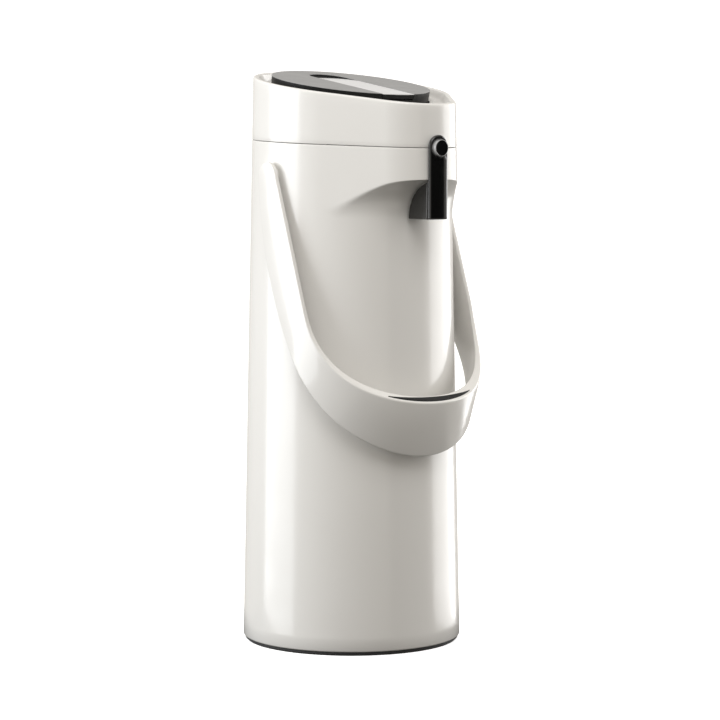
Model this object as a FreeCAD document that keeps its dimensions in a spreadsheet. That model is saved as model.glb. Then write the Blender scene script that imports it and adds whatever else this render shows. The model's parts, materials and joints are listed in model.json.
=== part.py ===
import FreeCAD, Part
import Sketcher
import math
import os

# Thermal coffee airpot, in millimetres.  Origin: centre of the foot, on the surface it stands on.
# +Z is up, the spout points to -Y, and X runs across the pot.

doc = FreeCAD.newDocument("airpot")
sheet = doc.addObject("Spreadsheet::Sheet", "Sheet")

SIZES = [
    # body: a slightly tapered round tube that grows a beak above the cup space
    ("base_radius", 72.8), ("taper", 0.0203), ("wall", 2.4), ("pad_radius", 71.4), ("pad_top", 2.6),
    ("nose_offset", 0.777), ("nose_ratio", 0.555), ("nose_angle", 55),
    # cove under the beak: an arc turned about the pot's axis
    ("cove_height", 283.5), ("cove_radius", 25),
    # the seam between pot and head, and the head's sloping rim
    ("seam_height", 332.3), ("seam_slope", 0.044), ("seam_gap", 0.4),
    ("rim_height", 370.0), ("rim_slope", 0.153), ("rim_round", 2.5), ("dish_depth", 6), ("dish_inset", 5),
    # vacuum flask
    ("flask_radius", 58), ("flask_bottom", 12), ("shoulder_low", 255), ("shoulder_high", 298),
    ("flask_top", 317.5), ("neck_radius", 31), ("steel", 0.8), ("vacuum_gap", 2.7),
    ("rest_inner", 30), ("rest_outer", 36), ("gasket_inner", 28), ("gasket_outer", 33),
    # plug, tubes and decks
    ("deck_bottom", 320), ("deck_plate", 2.6), ("plug_radius", 27.2), ("plug_bottom", 299),
    ("plug_flange", 34), ("plug_opening", 29.2),
    ("plug_top", 326), ("tube_radius", 4), ("tube_bore", 2.9), ("tube_low", 24),
    ("pipe_height", 331), ("outlet_reach", 79), ("head_deck_bottom", 338), ("head_deck_top", 340.4),
    # spout
    ("spout_half", 7.6), ("spout_low", 282.8), ("spout_high", 336.7), ("spout_front", 91.5), ("bar_crown", 36),
    ("nozzle_front", 88.4), ("nozzle_back", 69), ("nozzle_round", 24.3),
    ("button_height", 328.4), ("button_radius", 5.4), ("button_back", 90), ("button_front", 93.8),
    ("stem_radius", 2.5), ("stem_back", 82.2),
    # rear hinge of the head
    ("hinge_reach", 69.6), ("hinge_height", 335.36), ("knuckle_radius", 3.2), ("pin_radius", 1.5),
    ("running_gap", 0.05),
    # lid, tilted forward
    ("lid_reach", 0.6), ("lid_height", 371.8), ("lid_slope", 0.165), ("lid_radius", 53.2),
    ("lid_plate", 1.6), ("ring_outer", 52.5), ("ring_inner", 49.6), ("ring_depth", 14),
    ("slot_half", 13.4), ("slot_rear", 24), ("lever_half", 13), ("lever_sink", 0.2), ("lever_plate", 3.2),
    ("scoop_start", 8), ("scoop_depth", 2.2),
    ("trough_depth", 13), ("trough_wall", 1.2), ("lever_pivot", 44.5), ("lever_pivot_depth", 5.4),
    # bellows
    ("bellows_radius", 29), ("bellows_top", 352), ("bellows_folds", 4),
    ("spring_inner", 14), ("spring_outer", 16), ("pusher_radius", 6.5),
    # carrying handle, built flat and then tilted down about its pivot
    ("pivot_reach", 1), ("pivot_height", 310), ("handle_tilt", 19.4), ("handle_half", 71),
    ("arm_thickness", 2.8), ("bow_centre", 62.3), ("grip_thickness", 8.6), ("pivot_pin", 4),
    ("pin_cover", 0.7),
    ("bush_radius", 7), ("bush_seat", 65), ("bush_face", 67.9),
]
for row, (alias, number) in enumerate(SIZES, start=1):
    sheet.set("A%d" % row, alias)
    sheet.set("B%d" % row, str(number))
    sheet.setAlias("B%d" % row, alias)
doc.recompute()

ORIGIN = FreeCAD.Vector(0, 0, 0)
X_AXIS = FreeCAD.Vector(1, 0, 0)
Y_AXIS = FreeCAD.Vector(0, 1, 0)
Z_AXIS = FreeCAD.Vector(0, 0, 1)
BIG = 400.0
subparts = []


def size(alias):
    """The number in the sheet under this alias."""
    return float(sheet.get(alias))


def value(expression):
    """The number that a sheet expression works out to."""
    result = sheet.evalExpression(str(expression))
    return float(getattr(result, "Value", result))


def keep(thing, label):
    """Names an object and lists it as a sub-part."""
    thing.Label = label
    subparts.append(thing)
    return thing


def feature(label, shape, place=FreeCAD.Placement()):
    """A sub-part whose shape is worked out with Part's own functions, and then put in its place."""
    thing = doc.addObject("Part::Feature", label)
    thing.Shape = shape
    thing.Placement = place
    return keep(thing, label)


# ---------------------------------------------------------------- turned pieces

def outline_sketch(body, name, role, points):
    """A closed outline whose corners are bound to the sheet, one pair of distances for each."""
    plane = [item for item in body.Origin.OriginFeatures if item.Role == role][0]
    sketch = body.newObject("Sketcher::SketchObject", name)
    sketch.AttachmentSupport = (plane, [""])
    sketch.MapMode = "FlatFace"
    corners = [FreeCAD.Vector(value(across), value(up), 0) for across, up in points]

    for index, corner in enumerate(corners):
        sketch.addGeometry(Part.LineSegment(corner, corners[(index + 1) % len(corners)]), False)
    for index in range(len(corners)):
        following = (index + 1) % len(corners)
        sketch.addConstraint(Sketcher.Constraint("Coincident", index, 2, following, 1))
    for index, (across, up) in enumerate(points):
        for kind, text in (("DistanceX", across), ("DistanceY", up)):
            number = sketch.addConstraint(Sketcher.Constraint(kind, -1, 1, index, 1, value(text)))
            sketch.setExpression("Constraints[%d]" % number, str(text))
    return sketch


def turned(label, points):
    """A body turned about the pot's axis from an outline of (radius, height) expressions."""
    body = doc.addObject("PartDesign::Body", label)
    sketch = outline_sketch(body, label + "_outline", "XZ_Plane", points)
    turn = body.newObject("PartDesign::Revolution", label + "_turn")
    turn.Profile = sketch
    turn.ReferenceAxis = (sketch, ["V_Axis"])
    turn.Angle = 360
    sketch.Visibility = False
    return keep(body, label)


def s(alias):
    """A sheet alias as it is written inside an expression."""
    return "Sheet." + alias


# ---------------------------------------------------------------- shapes of the beaked body

def radius_at(height):
    return size("base_radius") - size("taper") * height


def beak_wire(height, inset):
    """The plan at one height: a round back, two straight tangents and a round nose."""
    back = radius_at(height)
    nose_centre = size("nose_offset") * back
    nose = size("nose_ratio") * back - inset
    back = back - inset
    angle = math.radians(size("nose_angle"))
    side, front = math.sin(angle), math.cos(angle)

    def spot(across, reach):
        return FreeCAD.Vector(across, -reach, height)

    back_left, back_right = spot(-back * side, back * front), spot(back * side, back * front)
    nose_left = spot(-nose * side, nose_centre + nose * front)
    nose_right = spot(nose * side, nose_centre + nose * front)
    edges = [
        Part.Arc(back_right, spot(0, -back), back_left).toShape(),
        Part.LineSegment(back_left, nose_left).toShape(),
        Part.Arc(nose_left, spot(0, nose_centre + nose), nose_right).toShape(),
        Part.LineSegment(nose_right, back_right).toShape(),
    ]
    return Part.Wire(edges)


def beak_solid(low, high, inset=0.0):
    """The beaked body between two heights, drawn in from its surface by inset."""
    return Part.makeLoft([beak_wire(low, inset), beak_wire(high, inset)], True, True)


def round_solid(low, high, inset=0.0):
    return Part.makeCone(radius_at(low) - inset, radius_at(high) - inset, high - low,
                         FreeCAD.Vector(0, 0, low), Z_AXIS)


def above(height, slope):
    """A block that fills everything over the plane z = height + slope * y."""
    half_space = Part.makeBox(BIG, BIG, BIG, FreeCAD.Vector(-BIG / 2, -BIG / 2, 0))
    half_space.rotate(ORIGIN, X_AXIS, math.degrees(math.atan(slope)))
    half_space.translate(FreeCAD.Vector(0, 0, height))
    return half_space


def below(height, slope):
    """A block that fills everything under the same kind of plane."""
    half_space = Part.makeBox(BIG, BIG, BIG, FreeCAD.Vector(-BIG / 2, -BIG / 2, -BIG))
    half_space.rotate(ORIGIN, X_AXIS, math.degrees(math.atan(slope)))
    half_space.translate(FreeCAD.Vector(0, 0, height))
    return half_space


def cove_space(inset=0.0):
    """Everything under the beak, in front of the round body and under the cove's arc."""
    height = size("cove_height")
    inner = radius_at(height)
    centre = inner + size("cove_radius")
    arc_radius = size("cove_radius") + inset
    far = BIG / 2
    low = height - 30
    start = FreeCAD.Vector(centre - arc_radius, 0, height)
    middle = FreeCAD.Vector(centre - arc_radius * math.cos(math.pi / 4), 0,
                            height + arc_radius * math.sin(math.pi / 4))
    top = FreeCAD.Vector(centre, 0, height + arc_radius)
    corners = [FreeCAD.Vector(far, 0, top.z), FreeCAD.Vector(far, 0, low),
               FreeCAD.Vector(start.x, 0, low)]
    edges = [
        Part.Arc(start, middle, top).toShape(),
        Part.LineSegment(top, corners[0]).toShape(),
        Part.LineSegment(corners[0], corners[1]).toShape(),
        Part.LineSegment(corners[1], corners[2]).toShape(),
        Part.LineSegment(corners[2], start).toShape(),
    ]
    return Part.Face(Part.Wire(edges)).revolve(ORIGIN, Z_AXIS, 360)


def pot_solid(low, high, inset=0.0):
    """Round body below the cove and the beaked one above it, hollowed under by the cove."""
    split = size("cove_height")
    upper = beak_solid(split, high, inset).cut(cove_space(inset))
    return round_solid(low, split, inset).fuse(upper).removeSplitter()


def rod(radius, start, end):
    """A round rod from one point to another."""
    run = end.sub(start)
    return Part.makeCylinder(radius, run.Length, start, run)


def block(low, high):
    """A box between two corners."""
    return Part.makeBox(high[0] - low[0], high[1] - low[1], high[2] - low[2], FreeCAD.Vector(*low))


def run_pipe(points, radius):
    """Straight rods joined by balls along a route."""
    shape = rod(radius, points[0], points[1])
    for before, after in zip(points[1:], points[2:]):
        shape = shape.fuse([Part.makeSphere(radius, before), rod(radius, before, after)])
    return shape


# ---------------------------------------------------------------- foot and base

turned("foot_pad", [
    ("0", "0"), (s("pad_radius") + " - 1", "0"), (s("pad_radius"), "1"),
    (s("pad_radius"), s("pad_top")), ("0", s("pad_top")),
])

BASE_PLATE_TOP = s("pad_top") + " + 2.8"
FLANGE_OUTER = s("base_radius") + " - " + s("wall") + " - 0.4"
base_cover = turned("base_cover", [
    ("0", s("pad_top")), (FLANGE_OUTER, s("pad_top")), (FLANGE_OUTER, s("pad_top") + " + 11.4"),
    (FLANGE_OUTER + " - 2.4", s("pad_top") + " + 11.4"), (FLANGE_OUTER + " - 2.4", BASE_PLATE_TOP),
    ("0", BASE_PLATE_TOP),
])

CRADLE_LOW = s("pad_top") + " + 3"
CRADLE_TOP = s("flask_bottom") + " - 3.6"
COLLAR = s("flask_radius") + " + 0.4"
cradle = turned("liner_cradle", [
    ("0", CRADLE_LOW), (COLLAR + " + 5.6", CRADLE_LOW), (COLLAR + " + 5.6", CRADLE_TOP),
    (COLLAR + " + 3.6", CRADLE_TOP), (COLLAR + " + 3.6", s("flask_bottom") + " + 14"),
    (COLLAR, s("flask_bottom") + " + 14"), (COLLAR, CRADLE_TOP), (s("rest_outer"), CRADLE_TOP),
    (s("rest_outer"), s("flask_bottom")), (s("rest_inner"), s("flask_bottom")),
    (s("rest_inner"), CRADLE_TOP), ("0", CRADLE_TOP),
])

SCREW_CIRCLE = 60.2
SCREW_COUNT = 4
SCREW_HEAD = 3.0
SCREW_SHANK = 1.6
doc.recompute()


def screw_spots(count, circle, turn):
    """Points evenly spaced on a circle about the axis."""
    for step in range(count):
        angle = math.radians(turn + 360.0 * step / count)
        yield circle * math.cos(angle), circle * math.sin(angle)


def screw(across, along, low, head, top):
    """A screw that stands point up, with its head at the bottom."""
    head_solid = Part.makeCylinder(SCREW_HEAD, head, FreeCAD.Vector(across, along, low), Z_AXIS)
    shank = Part.makeCylinder(SCREW_SHANK, top - low, FreeCAD.Vector(across, along, low), Z_AXIS)
    return head_solid.fuse(shank).removeSplitter()


def screw_group(label, spots, low, head, top):
    """Equal screws in one node, and the solid that cuts their holes."""
    solids = [screw(across, along, low, head, top) for across, along in spots]
    feature(label, Part.makeCompound(solids))
    return Part.makeCompound(solids)


def drilled(thing, cutter):
    """Swaps a turned body for the same piece with holes cut in it."""
    cut = doc.addObject("Part::Cut", thing.Label + "_drilled")
    tool = doc.addObject("Part::Feature", thing.Label + "_holes")
    tool.Shape = cutter
    cut.Base = thing
    cut.Tool = tool
    subparts.remove(thing)
    label = thing.Label
    thing.Label = label + "_blank"
    cut.Label = label
    subparts.append(cut)
    return cut


base_spots = list(screw_spots(SCREW_COUNT, SCREW_CIRCLE, 45))
base_screws = screw_group("base_screws", base_spots, size("pad_top"), 1.6, 18.0)
drilled(base_cover, base_screws)
drilled(cradle, base_screws)

# ---------------------------------------------------------------- vacuum flask

OUT = s("flask_radius")
NECK = s("neck_radius")
THIN = s("steel")


def flask_profile(radius, neck, bottom, top, skin):
    """A closed bottle wall: up the outside over the shoulder, and down again inside the skin."""
    low, high = s("shoulder_low"), s("shoulder_high")
    outer = [
        ("0", bottom), (radius + " - 8", bottom), (radius, bottom + " + 8"), (radius, low),
        (radius + " - 4", low + " + 18"), (neck + " + 13", high + " - 12"), (neck, high), (neck, top),
    ]
    inner = [
        (neck + " - " + skin, top), (neck + " - " + skin, high + " - " + skin),
        (neck + " + 12.4", high + " - 12.8"), (radius + " - 4.8", low + " + 17.6"),
        (radius + " - " + skin, low), (radius + " - " + skin, bottom + " + 8.4"),
        (radius + " - 8.4", bottom + " + " + skin), ("0", bottom + " + " + skin),
    ]
    return outer + inner


turned("flask_outer", flask_profile(OUT, NECK, s("flask_bottom"), s("flask_top"), THIN))
INNER_NECK = NECK + " - " + s("vacuum_gap")
inner_points = flask_profile(OUT + " - 3.6", INNER_NECK, s("flask_bottom") + " + 4.6",
                             s("flask_top") + " + " + THIN, THIN)
lip = [(INNER_NECK, s("flask_top")), (NECK, s("flask_top")), (NECK, s("flask_top") + " + " + THIN)]
turned("flask_inner", inner_points[:7] + lip + inner_points[8:])
turned("neck_gasket", [
    (s("gasket_inner"), s("flask_top") + " + " + THIN), (s("gasket_outer"), s("flask_top") + " + " + THIN),
    (s("gasket_outer"), s("deck_bottom")), (s("gasket_inner"), s("deck_bottom")),
])

# ---------------------------------------------------------------- spout and the button in it

def spout_slab(back, front, low, high, half):
    """An upright bar with a round top, as deep as from back to front."""
    middle = high - half
    bar = block((-half, -front, low), (half, -back, middle))
    cap = Part.makeCylinder(half, front - back, FreeCAD.Vector(0, -front, middle), Y_AXIS)
    return bar.fuse(cap).removeSplitter()


half = size("spout_half")
button_axis = FreeCAD.Vector(0, -size("spout_front") - 5, size("button_height"))
cover = spout_slab(84, size("spout_front"), size("spout_low"), size("spout_high"), half)
front_edges = [edge for edge in cover.Edges if abs(edge.CenterOfMass.y + size("spout_front")) < 0.01]
cover = cover.makeFillet(1.2, front_edges)
# the bar's face is slightly crowned, like the nose it stands on
crown = size("bar_crown")
cover = cover.common(Part.makeCylinder(crown, BIG, FreeCAD.Vector(0, crown - size("spout_front"), 0), Z_AXIS))
cover = cover.cut(beak_solid(270, 350, -0.5))
cover = cover.cut(block((-20, -size("nozzle_front"), 270), (20, -60, size("cove_height") + 25)))
button_room = Part.makeCylinder(size("button_radius") + 0.3, 14, button_axis, Y_AXIS)
cover = cover.cut(button_room)
feature("spout_cover", max(cover.Solids, key=lambda solid: solid.Volume))

outlet = FreeCAD.Vector(0, -size("outlet_reach"), size("spout_low") - 5)
outlet_bore = Part.makeCylinder(size("tube_radius") + 0.1, 45, outlet, Z_AXIS)
nozzle = block((-half, -size("nozzle_front"), size("spout_low")), (half, -size("nozzle_back"), 312))
nozzle_rear = Part.makeCylinder(size("nozzle_round"), 60, FreeCAD.Vector(
    -30, -size("nozzle_back") - size("nozzle_round"), size("spout_low")), X_AXIS)
nozzle = nozzle.common(nozzle_rear).common(cove_space()).cut(outlet_bore)
feature("spout_nozzle", max(nozzle.Solids, key=lambda solid: solid.Volume))

button_cap = Part.makeCylinder(size("button_radius"), size("button_front") - size("button_back"),
                               FreeCAD.Vector(0, -size("button_front"), size("button_height")), Y_AXIS)
cap_edges = [edge for edge in button_cap.Edges
             if abs(edge.CenterOfMass.y + size("button_front")) < 0.01]
button_cap = button_cap.makeFillet(0.8, cap_edges)
stem = Part.makeCylinder(size("stem_radius"), size("button_front") - 2 - size("stem_back"),
                         FreeCAD.Vector(0, -size("button_front") + 2, size("button_height")), Y_AXIS)
feature("release_button", button_cap.fuse(stem).removeSplitter())

stem_room = Part.makeCylinder(size("stem_radius") + 0.8, 14,
                              FreeCAD.Vector(0, -91, size("button_height")), Y_AXIS)

# ---------------------------------------------------------------- outer shell of the pot

pivot_y = -size("pivot_reach")
pivot_z = size("pivot_height")


def across_pair(radius, inner, outer):
    """Two rods along X, one on each side, at the handle's pivot."""
    right = rod(radius, FreeCAD.Vector(inner, pivot_y, pivot_z), FreeCAD.Vector(outer, pivot_y, pivot_z))
    left = rod(radius, FreeCAD.Vector(-outer, pivot_y, pivot_z), FreeCAD.Vector(-inner, pivot_y, pivot_z))
    return [right, left]


wall = size("wall")
shell = pot_solid(size("pad_top"), 345).cut(pot_solid(size("pad_top") - 1, 346, wall))
shell = shell.common(below(size("seam_height") - size("seam_gap") / 2, size("seam_slope")))
for cutter in across_pair(size("bush_radius") + 0.02, size("bush_seat"), 80):
    shell = shell.cut(cutter)
for cutter in across_pair(size("pivot_pin"), 50, 80):
    shell = shell.cut(cutter)
shell = shell.cut(outlet_bore).cut(stem_room)
feature("outer_shell", max(shell.Solids, key=lambda solid: solid.Volume))

bushes = [rod_solid.cut(pin) for rod_solid, pin in zip(
    across_pair(size("bush_radius"), size("bush_seat"), size("bush_face")),
    across_pair(size("pivot_pin"), 50, 80))]
feature("pivot_bushes", Part.makeCompound(bushes))
pins = [rod_solid.fuse(head).removeSplitter() for rod_solid, head in zip(
    across_pair(size("pivot_pin"), 61, size("handle_half") - size("pin_cover") - 0.3),
    across_pair(size("pivot_pin") + 1.5, 61, size("bush_seat") - 2.8))]
feature("handle_pins", Part.makeCompound(pins))

# ---------------------------------------------------------------- deck, plug and tubes

deck_low = size("deck_bottom")
deck_high = deck_low + size("deck_plate")
deck = beak_solid(deck_low, deck_high, wall + 0.05)
deck = deck.cut(Part.makeCylinder(size("plug_opening"), 20, FreeCAD.Vector(0, 0, deck_low - 5), Z_AXIS))
deck = deck.cut(block((-6, -78, deck_low - 5), (6, -60, deck_high + 5)))
feature("shell_deck", deck)

PORT_REACH = 16.0
plug = turned("stopper", [
    (s("tube_radius"), s("plug_bottom")), (s("plug_radius") + " - 1.5", s("plug_bottom")),
    (s("plug_radius"), s("plug_bottom") + " + 1.5"),
    (s("plug_radius"), s("deck_bottom") + " + " + s("deck_plate")),
    (s("plug_flange"), s("deck_bottom") + " + " + s("deck_plate")), (s("plug_flange"), s("plug_top")),
    (s("tube_radius"), s("plug_top")),
])
doc.recompute()
air_port = Part.makeCylinder(3.0, 40, FreeCAD.Vector(0, PORT_REACH, size("plug_bottom") - 5), Z_AXIS)
drilled(plug, air_port)
turned("siphon_tube", [
    (s("tube_bore"), s("tube_low")), (s("tube_radius"), s("tube_low")),
    (s("tube_radius"), s("plug_top")), (s("tube_bore"), s("plug_top")),
])

high = size("pipe_height")
reach = size("outlet_reach")
route = [FreeCAD.Vector(0, 0, size("plug_top")), FreeCAD.Vector(0, 0, high),
         FreeCAD.Vector(0, -62, high), FreeCAD.Vector(0, -reach, 308), FreeCAD.Vector(0, -reach, 287)]
pipe_core = run_pipe([route[0] - Z_AXIS] + route[1:-1] + [route[-1] - Z_AXIS], size("tube_bore"))
feature("delivery_pipe", run_pipe(route, size("tube_radius")).cut(pipe_core))

guide = block((-5, -84.6, deck_high), (5, -81, size("button_height") + 4.6))
guide = guide.cut(Part.makeCylinder(size("stem_radius") + size("running_gap"), 14,
                                    FreeCAD.Vector(0, -91, size("button_height")), Y_AXIS))
feature("button_guide", guide)

# ---------------------------------------------------------------- rear hinge

hinge_y = size("hinge_reach")
hinge_z = size("hinge_height")
knuckle = size("knuckle_radius")
LEAF_HALF = 12.0
BRACKET_HALF = 24.0
END_GAP = 0.4


def hinge_rod(radius, low, high):
    return rod(radius, FreeCAD.Vector(low, hinge_y, hinge_z), FreeCAD.Vector(high, hinge_y, hinge_z))


def hinge_knuckle(low, high, foot_low, foot_high, bore):
    """One barrel of the hinge with the foot that joins it to a wall."""
    foot = block((low, radius_at(hinge_z) - 2.6, foot_low), (high, hinge_y + knuckle, foot_high))
    foot = foot.cut(beak_solid(foot_low - 20, foot_high + 20))
    return hinge_rod(knuckle, low, high).fuse(foot).cut(hinge_rod(bore, low - 1, high + 1)).removeSplitter()


bracket = [hinge_knuckle(low, low + BRACKET_HALF - LEAF_HALF - END_GAP, 322, hinge_z - 0.6,
                         size("pin_radius"))
           for low in (-BRACKET_HALF, LEAF_HALF + END_GAP)]
bridge = block((-BRACKET_HALF, radius_at(322) - 6, 318), (BRACKET_HALF, hinge_y + knuckle, 326))
bridge = bridge.cut(beak_solid(300, 350))
feature("hinge_bracket", bracket[0].fuse([bracket[1], bridge]).removeSplitter())
feature("hinge_pin", hinge_rod(size("pin_radius"), -BRACKET_HALF, BRACKET_HALF))
leaf = hinge_knuckle(-LEAF_HALF, LEAF_HALF, hinge_z + 0.8, 347, size("pin_radius") + size("running_gap"))
feature("head_hinge_leaf", leaf)

# ---------------------------------------------------------------- head

lid_tilt = math.degrees(math.atan(size("lid_slope")))
lid_place = FreeCAD.Placement(FreeCAD.Vector(0, size("lid_reach"), size("lid_height")),
                              FreeCAD.Rotation(X_AXIS, lid_tilt))


def on_lid(shape):
    """Moves a shape drawn flat, with the lid's top at zero, to the tilted lid."""
    moved = shape.copy()
    moved.Placement = lid_place.multiply(moved.Placement)
    return moved


def lid_cylinder(radius, low, high):
    return Part.makeCylinder(radius, high - low, FreeCAD.Vector(0, 0, low), Z_AXIS)


rim_height, rim_slope = size("rim_height"), size("rim_slope")
head = beak_solid(320, 400).common(below(rim_height, rim_slope))
rim_edges = []
for edge in head.Edges:
    middle = edge.valueAt((edge.FirstParameter + edge.LastParameter) / 2)
    if abs(middle.z - rim_height - rim_slope * middle.y) < 0.01:
        rim_edges.append(edge)
head = head.makeFillet(size("rim_round"), rim_edges)
head = head.common(above(size("seam_height") + size("seam_gap") / 2, size("seam_slope")))
dish = beak_solid(340, 400, size("dish_inset")).common(above(rim_height - size("dish_depth"), rim_slope))
hollow = beak_solid(315, 400, wall)
hollow = hollow.common(below(rim_height - size("dish_depth") - wall, rim_slope))
head = head.cut(hollow).cut(dish).cut(on_lid(lid_cylinder(size("ring_outer"), -40, 20))).cut(stem_room)
feature("head_shell", max(head.Solids, key=lambda solid: solid.Volume))

deck_low, deck_high = size("head_deck_bottom"), size("head_deck_top")
POST_CIRCLE = 44.0
ring_bottom = on_lid(lid_cylinder(BIG / 2, -size("ring_depth"), BIG))
head_deck = beak_solid(deck_low, deck_high, wall + 0.05)
posts = []
for across, along in screw_spots(4, POST_CIRCLE, 45):
    post = Part.makeCylinder(4.5, 40, FreeCAD.Vector(across, along, deck_low + 1), Z_AXIS)
    posts.append(post.cut(ring_bottom))
head_deck = head_deck.fuse(posts).removeSplitter()
head_deck = head_deck.cut(Part.makeCylinder(3.0, 10, FreeCAD.Vector(0, PORT_REACH, deck_low - 2), Z_AXIS))
head_screws = screw_group("head_screws", list(screw_spots(4, POST_CIRCLE, 45)), deck_low - 1.6, 1.6, 350.0)
feature("head_deck", head_deck.cut(head_screws))

air_seal = Part.makeCylinder(7, deck_low - size("plug_top") - 0.4,
                             FreeCAD.Vector(0, PORT_REACH, size("plug_top") + 0.4), Z_AXIS)
feature("air_seal", air_seal.cut(air_port.translated(FreeCAD.Vector(0, 0, 20))))
feature("head_latch", block((-6, -79, 326), (6, -76.6, deck_low)))

# ---------------------------------------------------------------- lid, lever and bellows


def u_plate(half_width, rear, front, low, high):
    """A strip along Y with a half-round rear end, between two levels."""
    strip = block((-half_width, -front, low), (half_width, rear, high))
    end = Part.makeCylinder(half_width, high - low, FreeCAD.Vector(0, rear, low), Z_AXIS)
    return strip.fuse(end).removeSplitter()


plate = size("lid_plate")
sink = size("lever_sink")
lever_low = -sink - size("lever_plate")
slot = u_plate(size("slot_half"), size("slot_rear"), 80, lever_low - 0.7, 5)
lid_disc = lid_cylinder(size("lid_radius"), -plate, 0)
lid_disc = lid_disc.makeFillet(0.5, [edge for edge in lid_disc.Edges if abs(edge.CenterOfMass.z) < 0.01])
feature("lid_disc", lid_disc.cut(slot), lid_place)

ring = lid_cylinder(size("ring_outer"), -size("ring_depth"), -plate)
ring = ring.cut(lid_cylinder(size("ring_inner"), -50, 10)).cut(slot)
feature("lid_ring", ring, lid_place)

depth, skin = size("trough_depth"), size("trough_wall")
trough = u_plate(size("slot_half") + skin, size("slot_rear"), 80, -depth, -plate)
trough = trough.cut(u_plate(size("slot_half"), size("slot_rear"), 90, -depth + skin, 5))
trough = trough.common(lid_cylinder(size("ring_inner") - 0.05, -40, 10))
pusher_spot = FreeCAD.Vector(0, -size("lid_reach"), 0)
trough = trough.cut(Part.makeCylinder(9.5, 40, pusher_spot - Z_AXIS * 30, Z_AXIS))
lever_spot = FreeCAD.Vector(0, -size("lever_pivot"), -size("lever_pivot_depth"))


def lever_rod(radius, half_length):
    return rod(radius, lever_spot - X_AXIS * half_length, lever_spot + X_AXIS * half_length)


pin_half = size("slot_half") + skin
trough = trough.cut(lever_rod(size("pin_radius"), pin_half + 1))
feature("lever_trough", trough, lid_place)
lever_pin = lever_rod(size("pin_radius"), pin_half)
feature("lever_pin", lever_pin, lid_place.multiply(lever_pin.Placement))

lever = u_plate(size("lever_half"), size("slot_rear"), 80, lever_low, -sink)
lever = lever.common(lid_cylinder(size("lid_radius"), -20, 20))
# the rear of the top slopes down, so the thumb finds the slot's rear end
scoop_length = size("slot_rear") + size("slot_half") - size("scoop_start")
scoop = block((-30, 0, 0), (30, 80, 20))
scoop.rotate(ORIGIN, X_AXIS, -math.degrees(math.atan(size("scoop_depth") / scoop_length)))
scoop.translate(FreeCAD.Vector(0, size("scoop_start"), -sink))
lever = lever.cut(scoop)
lug = lever_rod(3.2, 9).fuse(block((-9, -size("lever_pivot") - 2.4, -size("lever_pivot_depth")),
                                   (9, -size("lever_pivot") + 2.4, lever_low + 0.2)))
lever = lever.fuse(lug).cut(lever_rod(size("pin_radius") + size("running_gap"), 20)).removeSplitter()
feature("pump_lever", lever, lid_place)

bellows_top = size("bellows_top")
pusher = Part.makeCylinder(size("pusher_radius"), 40, pusher_spot + Z_AXIS * (lever_low - 40), Z_AXIS)
pusher = on_lid(pusher).common(block((-30, -30, bellows_top + 0.35), (30, 30, BIG)))
feature("lever_pusher", pusher)

FOLD_OUT = s("bellows_radius")
bellows_points = [("0", s("head_deck_top")), (FOLD_OUT, s("head_deck_top"))]
folds = int(size("bellows_folds"))
pitch = "(%s - %s) / %s" % (s("bellows_top"), s("head_deck_top"), s("bellows_folds"))
for fold in range(folds):
    middle = "%s + (%g) * %s" % (s("head_deck_top"), fold + 0.5, pitch)
    top = "%s + (%g) * %s" % (s("head_deck_top"), fold + 1, pitch)
    bellows_points.append((FOLD_OUT + " - 4", middle))
    bellows_points.append((FOLD_OUT, top))
bellows_points += [("0", s("bellows_top")), ("0", s("bellows_top") + " - 1.4"),
                   (FOLD_OUT + " - 6", s("bellows_top") + " - 1.4"),
                   (FOLD_OUT + " - 6", s("head_deck_top") + " + 1.4"), ("0", s("head_deck_top") + " + 1.4")]
turned("bellows", bellows_points)
turned("pump_spring", [
    (s("spring_inner"), s("head_deck_top") + " + 1.4"), (s("spring_outer"), s("head_deck_top") + " + 1.4"),
    (s("spring_outer"), s("bellows_top") + " - 1.4"), (s("spring_inner"), s("bellows_top") + " - 1.4"),
])
feature("air_valve", Part.makeCylinder(8, 1.2, FreeCAD.Vector(0, -22, deck_low - 1.2), Z_AXIS))

# ---------------------------------------------------------------- carrying handle

handle_place = FreeCAD.Placement(FreeCAD.Vector(0, pivot_y, pivot_z),
                                 FreeCAD.Rotation(X_AXIS, size("handle_tilt")))
ARM_TOP = (8.1, 4.6)
ARM_CROWN = (-2.4, 9.0)
TOP_LINE = [(66.5, -68.4), (92.5, -92.9), (134, -106.7)]
LOW_LINE = [(-9.3, 0), (-1.9, -17.1), (17.5, -51.4), (48.8, -87.8), (93.8, -122.9), (134, -145.3)]


def side_point(reach, level):
    return FreeCAD.Vector(0, -reach, level)


def handle_side():
    """The handle's side view: a round arm end, a straight top that curves level, a swept underside."""
    start, middle, end = [side_point(*point) for point in TOP_LINE]
    lower = Part.BSplineCurve()
    lower.interpolate([side_point(*point) for point in LOW_LINE])
    arm_top = side_point(*ARM_TOP)
    edges = [
        Part.Arc(side_point(*LOW_LINE[0]), side_point(*ARM_CROWN), arm_top).toShape(),
        Part.LineSegment(arm_top, start).toShape(),
        Part.Arc(start, middle, end).toShape(),
        Part.LineSegment(end, side_point(*LOW_LINE[-1])).toShape(),
        lower.toShape(),
    ]
    face = Part.Face(Part.Wire(Part.__sortEdges__(edges)))
    face.translate(FreeCAD.Vector(-80, 0, 0))
    return face.extrude(FreeCAD.Vector(160, 0, 0))


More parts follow.
